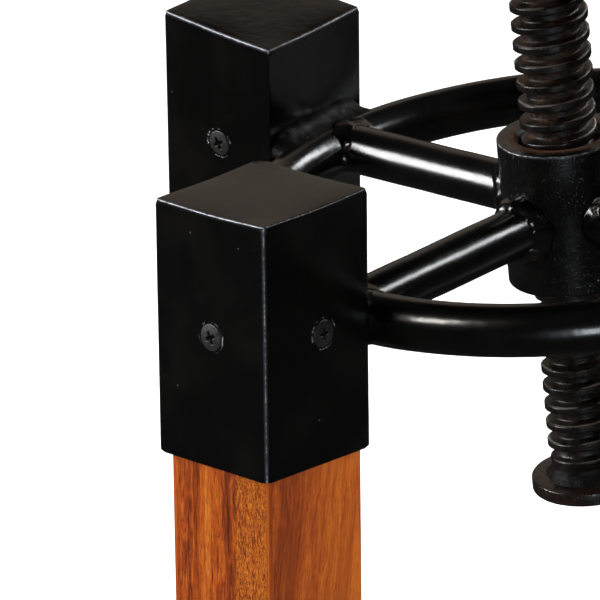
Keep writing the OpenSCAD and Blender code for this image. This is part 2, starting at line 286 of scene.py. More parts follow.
def leg_matrix(i):
    """The frame of leg i: origin at the middle of its cap's top, +X outward, +Z up along it."""
    return (
        Matrix.Translation((0, 0, RING_H + CAP_RISE))
        @ Matrix.Rotation(LEG_DIR[i], 4, "Z")
        @ Matrix.Translation((CAP_TOP_R, 0, 0))
        @ Matrix.Rotation(-SPLAY, 4, "Y")
        @ Matrix.Rotation(LEG_TURN[i], 4, "Z")
    )


def spoke_matrix(i):
    """The frame of spoke i: origin on the stool's axis, +Z outward along the spoke."""
    return (
        Matrix.Translation((0, 0, RING_H + SPOKE_RISE[i]))
        @ Matrix.Rotation(SPOKE_DIR[i], 4, "Z")
        @ Matrix.Rotation(math.pi / 2 + math.atan(SPOKE_RISE[i] / RING_R), 4, "Y")
    )


# The sides of a square section and its corners, anticlockwise
SIDES = ((1, 0), (0, 1), (-1, 0), (0, -1))
QUARTERS = ((1, 1), (-1, 1), (-1, -1), (1, -1))


def square_section(half, radius, side_points, corner_points):
    """A rounded square, anticlockwise from the +X side's lower end."""
    points = []
    flat = half - radius
    for k, (sx, sy) in enumerate(QUARTERS):
        turn = k * math.pi / 2
        cos, sin = math.cos(turn), math.sin(turn)
        for y in np.linspace(-1, 1, side_points + 2)[1:-1] * flat:
            points.append((half * cos - y * sin, half * sin + y * cos))
        for a in np.linspace(0, math.pi / 2, corner_points) + turn:
            points.append((sx * flat + radius * math.cos(a), sy * flat + radius * math.sin(a)))
    return np.array(points)


def square_sweep(profile, half, radius, side_points, corner_points):
    """Rings of a rounded square. Each profile entry is (inset from the side, height); the first
    and last rings are closed with one point each. Returns points and faces."""
    smallest = 0.2 * MM
    rings = []
    for inset, z in profile:
        h = max(half - inset, smallest)
        r = min(max(radius - max(inset, 0) * 0.8, smallest), h * 0.9)
        section = square_section(h, r, side_points, corner_points)
        rings.append(np.column_stack([section, np.full(len(section), z)]))
    count = len(rings[0])
    first = count * len(rings)
    verts = np.vstack([*rings, (0, 0, profile[0][1]), (0, 0, profile[-1][1])])
    faces = ring_faces(len(rings), count)
    return verts, faces + fan(0, count, first) + fan(first - count, count, first + 1)


def square_outward(points):
    """Away from the middle of a square section, 1 long across the nearest side."""
    outward = points * (1, 1, 0)
    return outward / np.maximum(np.abs(outward).max(1, keepdims=True), 1e-6)


# ---------------------------------------------------------------- materials
class Nodes:
    """A short way to write a node tree."""

    def __init__(self, name):
        self.material = bpy.data.materials.new(name)
        self.material.use_nodes = True
        self.tree = self.material.node_tree
        self.shader = self.tree.nodes["Principled BSDF"]

    def add(self, kind, inputs=None, **settings):
        node = self.tree.nodes.new(kind)
        for key, value in settings.items():
            setattr(node, key, value)
        for key, value in (inputs or {}).items():
            if isinstance(value, bpy.types.NodeSocket):
                self.tree.links.new(value, node.inputs[key])
            else:
                node.inputs[key].default_value = value
        return node

    def link(self, output, socket):
        self.tree.links.new(output, self.shader.inputs[socket])

    def number(self, name):
        return self.add("ShaderNodeAttribute", attribute_name=name).outputs["Fac"]

    def vector(self, name):
        return self.add("ShaderNodeAttribute", attribute_name=name).outputs["Vector"]

    def place(self):
        return self.add("ShaderNodeTexCoord").outputs["Object"]

    def stretch(self, vector, scale, location=(0, 0, 0)):
        node = self.add("ShaderNodeMapping", {"Vector": vector, "Scale": scale, "Location": location})
        return node.outputs["Vector"]

    def noise(self, vector, scale, detail=3.0, roughness=0.5, distortion=0.0):
        node = self.add("ShaderNodeTexNoise", {
            "Vector": vector, "Scale": scale, "Detail": detail,
            "Roughness": roughness, "Distortion": distortion,
        })
        return node.outputs["Fac"]

    def cells(self, vector, scale, output="Distance"):
        return self.add("ShaderNodeTexVoronoi", {"Vector": vector, "Scale": scale}).outputs[output]

    def maths(self, operation, a, b=0.0):
        return self.add("ShaderNodeMath", {0: a, 1: b}, operation=operation).outputs[0]

    def times(self, first, *others):
        for other in others:
            first = self.maths("MULTIPLY", first, other)
        return first

    def plus(self, first, *others):
        for other in others:
            first = self.maths("ADD", first, other)
        return first

    def swing(self, noise, size):
        """Noise about 0 in place of 0.5, and that many times larger."""
        return self.times(self.maths("SUBTRACT", noise, 0.5), size)

    def span(self, value, low, high, to_low=0.0, to_high=1.0):
        """A smooth step of value from low to high, mapped to the second range."""
        node = self.add("ShaderNodeMapRange", {
            "Value": value, "From Min": low, "From Max": high, "To Min": to_low, "To Max": to_high,
        }, interpolation_type="SMOOTHSTEP")
        return node.outputs["Result"]

    def ramp(self, value, stops):
        node = self.add("ShaderNodeValToRGB", {"Fac": value})
        elements = node.color_ramp.elements
        while len(elements) < len(stops):
            elements.new(0.5)
        for element, (position, colour) in zip(elements, stops):
            element.position = position
            element.color = (*colour, 1)
        return node.outputs["Color"]

    def mix(self, factor, a, b, blend="MIX"):
        node = self.add("ShaderNodeMix", {0: factor}, data_type="RGBA", blend_type=blend)
        for socket, colour in ((6, a), (7, b)):
            if isinstance(colour, bpy.types.NodeSocket):
                self.tree.links.new(colour, node.inputs[socket])
            else:
                node.inputs[socket].default_value = (*colour, 1)
        return node.outputs[2]

    def bump(self, height, distance):
        inputs = {"Height": height, "Distance": distance, "Strength": 1.0}
        self.link(self.add("ShaderNodeBump", inputs).outputs["Normal"], "Normal")


PAINT = (0.0013, 0.0013, 0.0012)
DUST = (0.0036, 0.0032, 0.0028)
WELD_DUST = (0.006, 0.0052, 0.0045)
SOOT = (0.014, 0.012, 0.010)
NIB = (0.12, 0.12, 0.115)
# Painted sheen: a bluish grey laid round worn edges in place of their highlights
PAINTED_EDGE_SHEEN = (0.055, 0.062, 0.075)
# Bare steel where the paint is worn through; on the caps' edges it is also a painted highlight
BARE_STEEL_AND_HIGHLIGHT = (0.30, 0.32, 0.35)
RUST = (0.10, 0.040, 0.014)


def black_paint(name, roughness, peel=1.0, pits=0.0, shine=0.5, dust=DUST, speckle=1.1,
                screws=False, rusty=False):
    """Brushed-on black enamel: slight orange peel, dust nibs, and bright steel where it is worn.
    Round the worn places a bluish grey is painted in as sheen, a painted highlight on the edges. It reads
    the wear-and-sheen attribute, and rust where it is rusty. Speckle breaks up the worn places' outlines."""
    n = Nodes(name)
    p = n.place()
    fine = n.noise(p, 700, 4, 0.65)
    colour = n.mix(n.span(n.noise(p, 38, 3, 0.6), 0.42, 0.7), PAINT, dust)
    nibs = n.times(n.span(n.cells(p, 250), 0.085, 0.035), n.span(n.cells(p, 250, "Color"), 0.77, 0.84))
    colour = n.mix(nibs, colour, NIB)
    uneven = n.span(n.noise(p, 90, 4, 0.65), 0.3, 0.75, roughness * 0.9, roughness * 1.15)
    if rusty:
        rust = n.number("rust")
        colour = n.mix(n.times(rust, n.span(fine, 0.38, 0.62, 0.25, 1.0)), colour, RUST)
        uneven = n.plus(uneven, n.times(rust, 0.4))
    wear_and_sheen = n.number("wear_and_sheen")
    if screws:
        wear_and_sheen = n.maths("MAXIMUM", wear_and_sheen, chips_round_screws(n))
    worn = n.span(n.plus(wear_and_sheen, n.swing(fine, speckle)), 0.60, 0.74)
    # Painted sheen round the worn places, standing in for the highlights on rounded edges
    colour = n.mix(n.span(wear_and_sheen, 0.2, 0.8, 0.0, 0.8), colour, PAINTED_EDGE_SHEEN)
    n.link(n.mix(worn, colour, BARE_STEEL_AND_HIGHLIGHT), "Base Color")
    n.link(n.times(worn, 0.35), "Metallic")
    n.link(n.maths("MAXIMUM", uneven, n.times(worn, 0.4)), "Roughness")
    n.shader.inputs["Specular IOR Level"].default_value = shine
    height = n.plus(n.times(n.noise(p, 260, 2, 0.5), 0.5 * peel), n.times(nibs, 0.9))
    if pits:
        height = n.plus(height, n.times(n.span(n.cells(p, 1100), 0.35, 0.0), pits))
    n.bump(height, 0.16 * MM)
    return n.material


def chips_round_screws(n):
    """How chipped the paint is in a ring round each cap screw, on the faces that have one."""
    local = n.vector("local")
    place = n.add("ShaderNodeSeparateXYZ", {"Vector": local}).outputs
    beside = n.maths("MINIMUM", n.maths("ABSOLUTE", place["X"]), n.maths("ABSOLUTE", place["Y"]))
    above = n.plus(place["Z"], SCREW_DROP)
    away = n.maths("SQRT", n.plus(n.maths("POWER", beside, 2.0), n.maths("POWER", above, 2.0)))
    from_rim = n.maths("ABSOLUTE", n.maths("SUBTRACT", away, HEAD_R + 0.25 * MM))
    ring = n.span(from_rim, 0.75 * MM, 0.0)
    broken = n.span(n.noise(local, 330, 5, 0.78), 0.44, 0.62, 0.0, 1.1)
    one_sided = n.span(n.noise(local, 110, 2, 0.5), 0.42, 0.58, 0.45, 1.0)
    outer_faces = n.span(place["X"], -CAP_W / 2 + 1 * MM, -CAP_W / 2 + 2 * MM)
    return n.times(ring, broken, one_sided, outer_faces, 0.85)


def thread_steel():
    """Oily dark steel with rust in the groove and bright metal on the crests' edges, partly rubbed
    wear and partly a painted highlight. It reads groove, rust and the wear-and-sheen attribute."""
    n = Nodes("thread_steel")
    p = n.place()
    patches = n.noise(p, 95, 4, 0.65)
    grit = n.noise(p, 900, 4, 0.7)
    rusty = n.times(n.number("groove"), n.number("rust"), n.span(patches, 0.40, 0.60))
    rusty = n.times(rusty, n.span(grit, 0.40, 0.60, 0.12, 1.0))
    steel = n.mix(n.span(grit, 0.35, 0.7), (0.0028, 0.0022, 0.0018), (0.010, 0.0073, 0.0053))
    rust = n.mix(n.span(grit, 0.4, 0.72), (0.026, 0.013, 0.007), (0.10, 0.048, 0.022))
    # Bright crest edges: rubbed metal and painted highlight
    worn = n.span(n.plus(n.number("wear_and_sheen"), n.swing(grit, 0.5)), 0.55, 0.8)
    n.link(n.mix(worn, n.mix(rusty, steel, rust), (0.30, 0.27, 0.24)), "Base Color")
    n.link(n.times(worn, 0.8), "Metallic")
    oily = n.span(n.noise(p, 300, 3, 0.6), 0.35, 0.7, 0.26, 0.46)
    n.link(n.plus(oily, n.times(rusty, 0.55)), "Roughness")
    n.shader.inputs["Specular IOR Level"].default_value = 0.26
    n.bump(n.plus(grit, n.times(patches, 0.6)), 0.12 * MM)
    return n.material


def screw_steel():
    """Dull dark screw heads, rubbed a little on their rims and in the cross. It reads wear."""
    n = Nodes("screw_steel")
    grit = n.noise(n.place(), 1200, 3, 0.6)
    worn = n.span(n.plus(n.number("wear_and_sheen"), n.swing(grit, 1.1)), 0.55, 0.8)
    colour = n.mix(n.span(grit, 0.3, 0.75), (0.010, 0.0098, 0.0095), (0.026, 0.025, 0.0245))
    n.link(n.mix(worn, colour, (0.42, 0.41, 0.39)), "Base Color")
    n.link(n.span(worn, 0, 1, 0.3, 0.6), "Metallic")
    n.link(n.span(grit, 0.2, 0.8, 0.34, 0.58), "Roughness")
    n.bump(grit, 0.08 * MM)
    return n.material


def wandering_grain(n, cut):
    """Two places to read patterns at: one straight with the fibres, which lean over on the calm
    sides, and one that wanders too."""
    place = n.add("ShaderNodeSeparateXYZ", {"Vector": n.vector("grain")}).outputs
    lean = n.times(n.maths("SUBTRACT", 1.0, cut), place["Z"], 0.13)
    straight = n.add("ShaderNodeCombineXYZ", {
        "X": n.plus(place["X"], lean), "Y": place["Y"], "Z": place["Z"]}).outputs[0]
    sway = n.swing(n.noise(n.stretch(straight, (90, 90, 26)), 1, 2, 0.5), 7.8 * MM)
    along = n.add("ShaderNodeCombineXYZ", {"X": sway, "Y": sway}).outputs[0]
    return straight, n.add("ShaderNodeVectorMath", {0: straight, 1: along}, operation="ADD").outputs[0]


def hardwood(name, tint=1.0):
    """Lacquered hardwood. It reads grain, the place with Z along the fibres; cut, which is 1 on
    the lively quarter-sawn sides and 0 on the calm ones; fleck, for bands of broken grain; and
    tone, which makes a side lighter or darker."""
    n = Nodes(name)
    cut = n.number("cut")
    straight, grain = wandering_grain(n, cut)
    bands = n.noise(n.stretch(grain, (250, 250, 9)), 1, 3, 0.55)
    streaks = n.noise(n.stretch(grain, (1200, 1200, 42), (0.2, 0.4, 0)), 1, 4, 0.66)
    fibres = n.noise(n.stretch(grain, (2600, 2600, 210)), 1, 3, 0.6)
    tone = n.plus(
        n.times(bands, 0.38), n.times(streaks, 0.38), n.times(fibres, 0.24), n.times(n.number("tone"), 0.12))
    lively = n.ramp(tone, [
        (0.36, (0.055, 0.009, 0.0006)), (0.44, (0.15, 0.022, 0.0006)), (0.49, (0.29, 0.044, 0.0006)),
        (0.55, (0.40, 0.080, 0.001)), (0.63, (0.53, 0.165, 0.012)),
    ])
    calm = n.ramp(tone, [
        (0.34, (0.17, 0.028, 0.003)), (0.44, (0.34, 0.058, 0.004)), (0.52, (0.52, 0.104, 0.006)),
        (0.63, (0.68, 0.170, 0.012)),
    ])
    colour = n.mix(cut, calm, lively)
    # Interlocked grain: a golden band broken up by short, slanting dark dashes
    dashes = n.noise(n.stretch(straight, (2100, 2100, 900), (0.3, 0.1, 0)), 1, 3, 0.6, 0.8)
    gold = n.ramp(n.plus(n.times(dashes, 0.7), n.times(tone, 0.3)), [
        (0.40, (0.09, 0.015, 0.001)), (0.47, (0.26, 0.050, 0.0015)), (0.55, (0.46, 0.118, 0.004)),
        (0.63, (0.57, 0.19, 0.015)),
    ])
    ragged = n.plus(n.number("fleck"), n.swing(bands, 1.6))
    colour = n.mix(n.span(ragged, 0.33, 0.70, 0.0, 0.9), colour, gold)
    pores = n.noise(n.stretch(grain, (4300, 4300, 300), (0.7, 0.1, 0)), 1, 2, 0.5)
    pored = n.times(n.span(pores, 0.53, 0.66, 0.0, 0.7), n.span(cut, 0, 1, 0.45, 1.0))
    colour = n.mix(pored, colour, (0.040, 0.010, 0.003))
    n.link(n.mix(1.0, colour, (tint, tint, tint), "MULTIPLY"), "Base Color")
    n.link(n.span(fibres, 0.3, 0.75, 0.34, 0.50), "Roughness")
    n.shader.inputs["Specular IOR Level"].default_value = 0.1
    n.bump(n.plus(n.times(streaks, 0.5), fibres), 0.06 * MM)
    return n.material


def glide_plastic():
    """Dull black moulded plastic."""
    n = Nodes("glide_plastic")
    grain = n.noise(n.place(), 900, 3, 0.6)
    n.link(n.mix(n.span(grain, 0.3, 0.7), (0.020, 0.020, 0.020), (0.032, 0.031, 0.030)), "Base Color")
    n.link(n.span(grain, 0.3, 0.7, 0.5, 0.68), "Roughness")
    n.bump(grain, 0.06 * MM)
    return n.material


CAP_PAINT = black_paint("cap_paint", 0.22, shine=0.27, speckle=0.85, screws=True)
BAR_PAINT = black_paint("bar_paint", 0.22, peel=0.8)
HUB_PAINT = black_paint("hub_paint", 0.23, pits=0.6, shine=0.55, rusty=True)
WELD_PAINT = black_paint("weld_paint", 0.19, peel=1.2, shine=0.46, dust=WELD_DUST)
SOOTY_PAINT = black_paint("sooty_paint", 0.52, peel=2.2, pits=0.8, shine=0.10, dust=SOOT)
THREAD = thread_steel()
SCREW = screw_steel()
LEG_WOOD = hardwood("leg_wood")
SEAT_WOOD = hardwood("seat_wood", 0.9)
PLASTIC = glide_plastic()


# ---------------------------------------------------------------- leg caps and legs
EDGE_R = 0.45 * MM
BEND_R = 0.4 * MM
TOP_T = 2.0 * MM
RIM_R = 0.35 * MM
# A rounded edge's middle lies this share of its radius inside the sharp edge's place
INSIDE = 0.29
# How bare each cap's top edges are worn and how strongly they carry painted sheen, a painted
# # highlight (its +X, +Y, -X and -Y sides), the same for its upright edges (from the +X +Y one,
# # anticlockwise), and how wide, in millimetres
TOP_WEAR_AND_SHEEN = ((0.82, 0.66, 0.1, 0.1), (0.3, 0.95, 0.95, 0.3), (0.5, 0.6, 0.4, 0.5), (0.6, 0.4, 0.5, 0.5))
SIDE_WEAR_AND_SHEEN = ((0.72, 0.3, 0.1, 0.25), (0.3, 0.35, 0.3, 0.3), (0.5, 0.3, 0.3, 0.55), (0.55, 0.3, 0.2, 0.5))
TOP_WEAR_AND_SHEEN_WIDTH = (0.7, 0.95, 0.6, 0.6)
SIDE_WEAR_AND_SHEEN_WIDTH = (1.05, 0.8, 0.8, 0.8)
# How far each corner of the top plate is cut back, in millimetres, in the same order
BLUNT = ((0.4, 0.4, 1.8, 0.4), (0.4, 0.4, 0.4, 0.5), (0.5, 0.5, 0.5, 0.5), (0.7, 0.4, 0.6, 0.5))


def cap_wear_and_sheen(local, i):
    """Wear and painted sheen along the cap's edges, from the distance to each of them."""
    half = CAP_W / 2
    x, y = local[:, 0], local[:, 1]
    drop = -x * math.tan(CAP_RAKE[i]) - local[:, 2]
    # The upright edges' painted highlight widens to twice its width near the top
    wide = SIDE_WEAR_AND_SHEEN_WIDTH[i] * MM * (1 + smoothstep(-5 * MM, -1 * MM, local[:, 2]))
    wear_and_sheen = np.zeros(len(local))
    for k, (nx, ny) in enumerate(SIDES):
        depth = half - (x * nx + y * ny)
        near = np.hypot(depth - EDGE_R * INSIDE, drop - EDGE_R * INSIDE)
        wear_and_sheen = np.maximum(wear_and_sheen, TOP_WEAR_AND_SHEEN[i][k] * fade(near, TOP_WEAR_AND_SHEEN_WIDTH[i] * MM))
    for k, (sx, sy) in enumerate(QUARTERS):
        near = np.hypot(half - x * sx - BEND_R * INSIDE, half - y * sy - BEND_R * INSIDE)
        wear_and_sheen = np.maximum(wear_and_sheen, SIDE_WEAR_AND_SHEEN[i][k] * fade(near, wide))
    return wear_and_sheen


def cap_profile():
    """Insets and heights from the cap's ceiling down its inside, round the bottom rim, up the
    outside and over the top. The walls stand back a little under the top plate."""
    half, low, ceiling = CAP_W / 2, -CAP_H, -CAP_WALL
    step = 0.05 * MM
    profile = [(half * 0.98, ceiling), (CAP_WALL + 6 * MM, ceiling), (CAP_WALL, ceiling)]
    profile += [(CAP_WALL, z) for z in np.linspace(ceiling - 2 * MM, low + 1 * MM, 6)]
    profile += [(CAP_WALL - d, z) for d, z in arc(-RIM_R, low + RIM_R, RIM_R, 180, 270, 3)]
    profile += [(RIM_R + step - d, z) for d, z in arc(0, low + RIM_R, RIM_R, 270, 360, 3)]
    profile += [(step, z) for z in np.linspace(low + 1.5 * MM, -TOP_T - 0.5 * MM, 26)]
    profile += [(step * 0.3, -TOP_T), (0, -TOP_T + 0.3 * MM)]
    profile += [(EDGE_R - d, z) for d, z in arc(0, -EDGE_R, EDGE_R, 0, 90, 6)]
    return profile + [(half * t, 0.0) for t in (0.12, 0.25, 0.4, 0.55, 0.7, 0.85, 0.98)]


def blunt_corners(local, height, i):
    """Cuts the corners of a cap's top plate back, in place."""
    for k, (sx, sy) in enumerate(QUARTERS):
        past = (local[:, 0] * sx + local[:, 1] * sy - CAP_W) / math.sqrt(2) + BLUNT[i][k] * MM
        past = np.maximum(past, 0) * smoothstep(-1.1 * MM, -0.3 * MM, height) / math.sqrt(2)
        local[:, 0] -= past * sx
        local[:, 1] -= past * sy


def make_cap(i):
    name = "leg_cap_" + CORNERS[i]
    half = CAP_W / 2
    verts, faces = square_sweep(cap_profile(), half, BEND_R, side_points=30, corner_points=9)
    x, y, height = verts.T
    local = verts.copy()
    local[:, 2] -= x * math.tan(CAP_RAKE[i]) * smoothstep(-CAP_H, -4 * MM, height)
    wear_and_sheen = cap_wear_and_sheen(local, i)
    place = local.copy()
    place[:, 0] += SCREW_SHIFT[i] * (np.abs(y) > np.abs(x))
    # Hand-made sheet: the faces are a little wavy, and the top edges bow and sag
    wave = layered_noise(local, (19, 0.07, i + 1), (6, 0.015, i + 9))
    local += square_outward(local) * (wave + 0.17 * MM)[:, None]
    blunt_corners(local, height, i)
    corner = smoothstep(half - 1.9 * MM, half - 0.2 * MM, np.minimum(np.abs(x), np.abs(y)))
    local[:, 2] += 0.5 * MM * corner * smoothstep(-CAP_H + 5 * MM, -CAP_H, height)
    bow = value_noise(local * (1, 1, 0), 17 * MM, i + 21) * 0.15 * MM
    across, along = (x / half) ** 2, (y / half) ** 2
    sag = (across + along - 2 * across * along).clip(0, 1) ** 2 * 0.42 * MM
    local[:, 2] += (bow - sag) * smoothstep(-12 * MM, -1 * MM, height)
    cap = new_piece(name + "_shell", moved(local, leg_matrix(i)), faces, CAP_PAINT, name)
    store(cap, "wear_and_sheen", wear_and_sheen)
    store(cap, "local", place)
    # Only the nearest cap is seen by the other paint: it hides part of the lamp from the ring
    cap.visible_glossy = i == 0


def leg_profile(half, radius):
    """Insets down a leg and the share of its length each is at: 1 at the foot and 0 on top."""
    edge = arc(0, -radius, radius, 0, 90, 3)
    profile = [(half * 0.98, 1.0), (half * 0.5, 1.0)]
    profile += [(radius * 0.8 * (1 - t), 1.0 - 0.002 * t) for t in (0, 0.5, 1)]
    profile += [(0.0, share) for share in np.linspace(1, 0, 60)[1:-1]]
    profile += [(radius - d, 0.0) for d, _ in edge]
    return profile + [(half * 0.5, 0.0), (half * 0.98, 0.0)]


def make_leg(i):
    name = "leg_" + CORNERS[i]
    half, radius = LEG_W / 2, 0.45 * MM
    matrix = leg_matrix(i)
    verts, faces = square_sweep(leg_profile(half, radius), half, radius, side_points=34, corner_points=5)
    x, y, share = verts.T
    local = verts + (-LEG_SHIFT, LEG_SHIFT, 0)
    local[:, 2] = -LEG_DROP - local[:, 0] * math.tan(CAP_RAKE[i])
    # Each line down the leg ends where the foot is cut off level
    up = turned((0, 0, 1), matrix)[2]
    local[:, 2] -= share * (moved(local, matrix)[:, 2] - GLIDE_H) / up
    grain = local + (0.11 * i, 0, 0.37 * i)
    wave = value_noise(local * (1, 1, 0.3), 30 * MM, i + 40) * 0.05 * MM
    placed = local + square_outward(verts) * ((wave + 0.2 * MM) * (share > 0))[:, None]
    leg = new_piece(name + "_wood", moved(placed, matrix), faces, LEG_WOOD, name, slot="leg_wood")
    store(leg, "grain", grain)
    facing = smoothstep(-1.5 * MM, 1.5 * MM, np.abs(x) - np.abs(y))
    store(leg, "cut", facing)
    band = smoothstep(2.5 * MM, 7.5 * MM, y) * smoothstep(18.1 * MM, 17.0 * MM, y)
    store(leg, "fleck", band * facing * (x > 0))
    lively_edge = smoothstep(16.8 * MM, 18.0 * MM, y) * facing * 0.7
    calm_side = (smoothstep(16 * MM, -14 * MM, x) * 0.9 - 0.40) * (1 - facing)
    store(leg, "tone", lively_edge + calm_side)
    leg.visible_glossy = False


def make_glide(i):
    name = "foot_glide_" + CORNERS[i]
    edge, pin_r, pin_h = 1 * MM, 2.5 * MM, 14 * MM
    profile = [(0, 0), (GLIDE_R * 0.4, 0), (GLIDE_R - edge * 1.6, 0)]
    profile += arc(GLIDE_R - edge, edge, edge, -70, 0, 4)
    profile += [(GLIDE_R, GLIDE_H * 0.6), (GLIDE_R - 0.3 * MM, GLIDE_H), (pin_r, GLIDE_H)]
    profile += [(pin_r, GLIDE_H + pin_h * 0.9), (0, GLIDE_H + pin_h)]
    verts, faces = lathe(profile, 48)
    middle = (lowest(name) + highest(name)) / 2
    verts = verts + (middle.x, middle.y, 0)
    new_piece(name + "_foot", verts, faces, PLASTIC, name, slot="glide_plastic")


# ---------------------------------------------------------------- screws
SLOT_REACH = 1.95 * MM
SLOT_W = 0.50 * MM
SLOT_DEPTH = 1.5 * MM
SHANK = ((HEAD_R, -0.15 * MM), (2 * MM, -0.15 * MM), (2 * MM, -11 * MM), (0.9 * MM, -13.4 * MM))
SHANK_TIP = -14.8 * MM


def slot(along, across, half_width):
    """1 inside one slot of a screw's cross, falling to 0 at its sides and ends."""
    sides = smoothstep(half_width + 0.16 * MM, half_width - 0.06 * MM, np.abs(across))
    return sides * smoothstep(SLOT_REACH, SLOT_REACH - 0.3 * MM, np.abs(along))


def screw_mesh(seed):
    """A cross-head screw seated on z = 0: its head as a polar grid that the cross is pressed
    into, then its shank and point. Returns points, faces and wear."""
    segments = 96
    around = circle(turn_round(segments))
    radii = np.linspace(0.12, 1.0, 26) * HEAD_R
    head = np.vstack([(0, 0, 0), *(around * r for r in radii)])
    r = np.hypot(head[:, 0], head[:, 1])
    spin = 0.45 + seed * 1.2
    x = head[:, 0] * math.cos(spin) + head[:, 1] * math.sin(spin)
    y = -head[:, 0] * math.sin(spin) + head[:, 1] * math.cos(spin)
    dome = HEAD_H * (1 - 0.55 * (r / HEAD_R) ** 2 - 0.45 * smoothstep(0.86, 1.0, r / HEAD_R))
    narrow = SLOT_W * (1 - 0.35 * r / SLOT_REACH)
    cross = np.maximum(slot(x, y, narrow), slot(y, x, narrow))
    head[:, 2] = dome - cross * SLOT_DEPTH * (1 - 0.5 * r / SLOT_REACH).clip(0, 1)
    worn = smoothstep(0.80, 0.93, r / HEAD_R) * 0.22 + cross * (1 - cross) * 0.7
    verts = np.vstack([head, *(around * sr + (0, 0, z) for sr, z in SHANK), (0, 0, SHANK_TIP)])
    rings = len(radii) + len(SHANK)
    faces = fan(1, segments, 0) + ring_faces(rings, segments, start=1)
    faces += fan(1 + (rings - 1) * segments, segments, len(verts) - 1)
    return verts, faces, np.concatenate([worn, np.zeros(len(verts) - len(head))])


def joined(parts):
    """Several pairs of points and faces as one."""
    faces, count = [], 0
    for verts, its_faces in parts:
        faces += [tuple(v + count for v in face) for face in its_faces]
        count += len(verts)
    return np.concatenate([verts for verts, _ in parts]), faces


def make_screws(name, node, body, places):
    """All screws of a node as one piece: places are the frames they are seated in."""
    meshes = [screw_mesh(seed) for seed in range(len(places))]
    verts, faces = joined([(moved(mesh[0], place), mesh[1]) for mesh, place in zip(meshes, places)])
    screws = new_piece(name, verts, faces, SCREW, node, body, "dark_screw_steel")
    store(screws, "wear_and_sheen", np.concatenate([wear_and_sheen for _, _, wear_and_sheen in meshes]))


def cap_screw_places():
    return [
        leg_matrix(i)
        @ Matrix.Rotation(side * math.pi / 2, 4, "Z")
        @ Matrix.Translation((CAP_W / 2 - 0.3 * MM, side * SCREW_SHIFT[i], -SCREW_DROP))
        @ Matrix.Rotation(math.pi / 2, 4, "Y")
        for i in range(4)
        for side in (0, 1, -1)
    ]


def tab_screw_places():
    return [
        leg_matrix(i)
        @ Matrix.Translation((TAB_X, 0, -FOOT_RUN + side * TAB_SCREW_GAP / 2))
        @ Matrix.Rotation(-math.pi / 2, 4, "Y")
        for i in range(4)
        for side in (-1, 1)
    ]


def plate_screw_places():
    return [
        Matrix.Rotation(k * math.pi / 3, 4, "Z")
        @ Matrix.Translation((PLATE_SCREW_R, 0, PLATE_LOW))
        @ Matrix.Rotation(math.pi, 4, "X")
        for k in range(6)
    ]


# ---------------------------------------------------------------- rings, spokes and hub
def loop_faces(rings, count):
    """Quads between successive rings of count points, and from the last ring to the first."""
    total = rings * count
    return [tuple(v % total for v in face) for face in ring_faces(rings + 1, count)]


def make_ring(name, node, r, bar_r, z, plane_x, seed):
    """A ring of round bar with small dents, flat where it meets the plane X = plane_x of a leg."""
    segments, around = 320, 40
    tube = [(r + bar_r * math.cos(t), z + bar_r * math.sin(t)) for t in turn_round(around)]
    verts = [(out * math.cos(a), out * math.sin(a), h) for a in turn_round(segments) for out, h in tube]
    verts = np.array(verts)
    outward = (verts - radial(verts) * r - (0, 0, z)) / bar_r
    verts = verts + outward * dents(verts, 16 * MM, seed, 0.16 * MM)[:, None]
    for i in range(4):
        matrix = leg_matrix(i)
        beside = np.array((math.cos(LEG_DIR[i]), math.sin(LEG_DIR[i]))) * r
        near = np.hypot(*(verts[:, :2] - beside).T) < 30 * MM
        local = moved(verts[near], matrix.inverted())
        local[:, 0] = np.minimum(local[:, 0], plane_x)
        verts[near] = moved(local, matrix)
    new_piece(name, verts, loop_faces(segments, around), BAR_PAINT, node)


def make_spoke(i):
    """A bar from inside the hub's wall to inside the ring's bar, so that its ends are hidden."""
    name = "spoke_" + CORNERS[i]
    start, end = HUB_R - 1.5 * MM, RING_R - 2 * MM
    profile = [(0, start), (SPOKE_R * 0.98, start), (SPOKE_R, start + 0.2 * MM)]
    profile += [(SPOKE_R, z) for z in np.linspace(start + 1 * MM, end - 1 * MM, 60)]
    profile += [(SPOKE_R, end - 0.2 * MM), (SPOKE_R * 0.98, end), (0, end)]
    verts, faces = lathe(profile, 48)
    verts = verts + radial(verts, SPOKE_R) * dents(verts, 11 * MM, 60 + i, 0.14 * MM)[:, None]
    new_piece(name + "_bar", moved(verts, spoke_matrix(i)), faces, BAR_PAINT, name)


def hub_profile(edge, rim, mouth_r, mouth_h):
    """Up the outside from the bore's lower end, over the top and down into its widened mouth."""
    profile = [(BORE_R, HUB_LOW + 0.6 * MM), (BORE_R + 0.6 * MM, HUB_LOW)]
    profile += [(HUB_R - edge - 1 * MM, HUB_LOW)]
    profile += arc(HUB_R - edge, HUB_LOW + edge, edge, -90, 0, 8)
    profile += [(HUB_R, z) for z in np.linspace(HUB_LOW + edge + 1 * MM, HUB_HIGH - rim - 1 * MM, 26)]
    profile += arc(HUB_R - rim, HUB_HIGH - rim, rim, 0, 90, 6)
    profile += spaced((HUB_R - rim, HUB_HIGH), (mouth_r, HUB_HIGH), 6)
    profile += [(mouth_r, HUB_HIGH), (BORE_R + 0.3 * MM, HUB_HIGH - mouth_h)]
    profile += [(BORE_R, HUB_HIGH - mouth_h * 1.6)]
    return profile + spaced(profile[-1], profile[0], 10)


